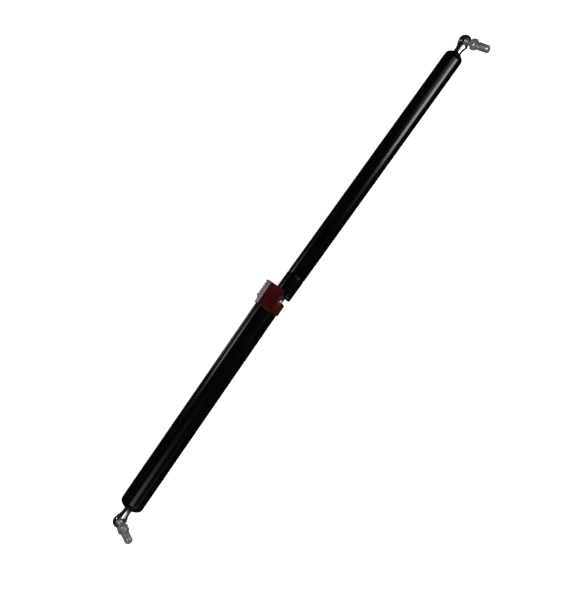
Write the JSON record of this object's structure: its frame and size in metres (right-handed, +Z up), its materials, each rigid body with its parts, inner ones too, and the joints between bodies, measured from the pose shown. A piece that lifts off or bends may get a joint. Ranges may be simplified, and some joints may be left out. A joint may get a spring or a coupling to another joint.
{
  "type": "gas strut stay",
  "caption": "Gas strut stay that locks open: a sprung guard tube with a release clip over the rod, and a ball joint with a threaded stud at each end.",
  "frame": {"origin": "centre of the whole strut's outline in X and Y, at the level of the surface it lies on", "axes": "+X along the strut from the rod's end to the pressure tube's end, +Z up from the surface it lies on, the ball studs pointing to -Y and +Z"},
  "size_m": [0.7032, 0.0544, 0.0398],
  "materials": {
    "black_paint": "gloss black paint",
    "guard_paint": "gloss black paint",
    "hard_chrome": "hard chrome, polished",
    "aluminium": "turned aluminium",
    "seal_rubber": "matt black rubber",
    "zinc_plate": "zinc plated steel",
    "guide_nylon": "natural nylon",
    "sintered_bronze": "sintered bronze",
    "spring_steel": "bright spring steel",
    "clip_plastic": "glossy dark red-brown plastic",
    "dark_nickel": "dark nickel-chrome plate",
    "stud_zinc": "zinc plated steel"
  },
  "bodies": {
    "cylinder": {"pressure_tube": "black_paint", "end_plug": "aluminium", "end_plug_o_ring": "seal_rubber", "rod_guide": "aluminium", "guide_o_ring": "seal_rubber", "rod_seal": "seal_rubber", "seal_washer": "zinc_plate", "guide_spacer": "guide_nylon", "upper_socket": "dark_nickel"},
    "piston_ring": {"piston_ring": "guide_nylon"},
    "rod": {"piston_rod": "hard_chrome", "piston": "sintered_bronze", "piston_washer": "zinc_plate", "piston_nut": "zinc_plate", "foot_washer": "zinc_plate", "guard_foot_bush": "guide_nylon", "tilt_spring": "spring_steel", "lower_socket": "dark_nickel"},
    "guard": {"guard_tube": "guard_paint", "release_clip": "clip_plastic"},
    "upper_ring": {"upper_snap_ring": "spring_steel"},
    "upper_stud": {"upper_ball_stud": "stud_zinc"},
    "lower_ring": {"lower_snap_ring": "spring_steel"},
    "lower_stud": {"lower_ball_stud": "stud_zinc"}
  },
  "joints": [
    {"name": "rod_slide", "type": "slide", "parent": "cylinder", "child": "piston_ring", "axis": [1, 0, 0], "range_m": [0, 0.0053], "stiffness_N_per_m": 10, "springref_m": -0.3},
    {"name": "rod_turn", "type": "hinge", "parent": "piston_ring", "child": "rod", "pos_m": [-0.33824, 0.00225, 0.0156], "axis": [1, 0, 0], "continuous": true},
    {"name": "guard_release", "type": "hinge", "parent": "rod", "child": "guard", "pos_m": [-0.31924, 0.00225, 0.0156], "axis": [0, 0, -1], "range_deg": [0, 1.2], "stiffness_Nm_per_rad": 1, "springref_deg": -17.19, "deforming": ["tilt_spring"]},
    {"name": "upper_stud_swivel", "type": "hinge", "parent": "cylinder", "child": "upper_ring", "pos_m": [0.34176, 0.00225, 0.0156], "axis": [0, -0.8642, 0.5031], "continuous": true},
    {"name": "upper_stud_tilt", "type": "hinge", "parent": "upper_ring", "child": "upper_stud", "pos_m": [0.34176, 0.00225, 0.0156], "axis": [0, 0.5031, 0.8642], "range_deg": [-33.9, 15.7]},
    {"name": "lower_stud_swivel", "type": "hinge", "parent": "rod", "child": "lower_ring", "pos_m": [-0.33824, 0.00225, 0.0156], "axis": [0, -0.7341, 0.6791], "continuous": true},
    {"name": "lower_stud_tilt", "type": "hinge", "parent": "lower_ring", "child": "lower_stud", "pos_m": [-0.33824, 0.00225, 0.0156], "axis": [0, 0.6791, 0.7341], "range_deg": [-8.8, 40.8]}
  ]
}
